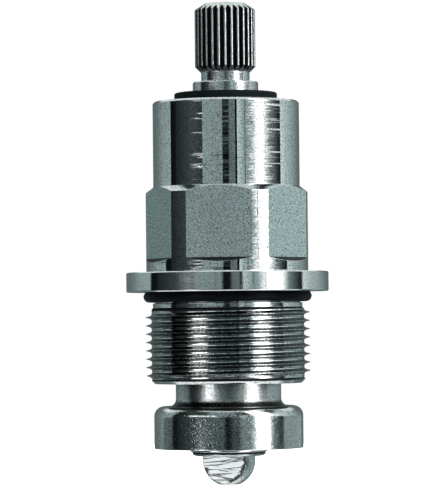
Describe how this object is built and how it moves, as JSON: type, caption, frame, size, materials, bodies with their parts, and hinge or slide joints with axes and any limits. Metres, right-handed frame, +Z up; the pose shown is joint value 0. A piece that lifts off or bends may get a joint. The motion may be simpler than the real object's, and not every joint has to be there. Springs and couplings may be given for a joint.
{
  "type": "faucet stem",
  "caption": "Compression faucet stem: toothed spindle turning in a hexed, flanged and threaded bonnet, driving a sliding plunger with a seat washer.",
  "frame": {"origin": "centre of the flange's underside, on the spindle's axis, where the stem seats on a valve body", "axes": "+Z up the spindle towards the handle, -Y towards the side with the broad milled flat that the picture shows, +X to the right of that side"},
  "size_m": [0.0308, 0.0308, 0.0733],
  "materials": {
    "plated_bonnet": "bright plated over turned and milled brass",
    "plated_spindle": "plated, fine turning marks",
    "plated_plunger": "satin plated, grainy",
    "plated_retainer": "plated, pressed",
    "plated_screw": "plated, rough milled flats",
    "blackened_steel": "blackened spring steel, satin",
    "black_rubber": "moulded, slightly greased",
    "seat_rubber": "moulded, matt",
    "slip_washer": "turned, waxy"
  },
  "bodies": {
    "bonnet_body": {"bonnet": "plated_bonnet", "flange_oring": "black_rubber"},
    "spindle_body": {"spindle": "plated_spindle", "retaining_ring": "blackened_steel", "thrust_washer": "slip_washer", "spindle_oring_upper": "black_rubber", "spindle_oring_lower": "black_rubber"},
    "plunger_body": {"plunger": "plated_plunger", "plunger_oring": "black_rubber", "seat_washer": "seat_rubber", "washer_retainer": "plated_retainer", "seat_screw": "plated_screw"}
  },
  "joints": [
    {"name": "spindle_turn", "type": "hinge", "parent": "bonnet_body", "child": "spindle_body", "pos_m": [0, 0, 0.02], "axis": [0, 0, 1], "range_deg": [-648, 608.4]},
    {"name": "plunger_slide", "type": "slide", "parent": "bonnet_body", "child": "plunger_body", "axis": [0, 0, 1], "range_m": [-0.00361, 0.00339]}
  ],
  "couplings": [
    {"joint": "plunger_slide", "follows": "spindle_turn", "m_per_rad": 0.00031831}
  ]
}
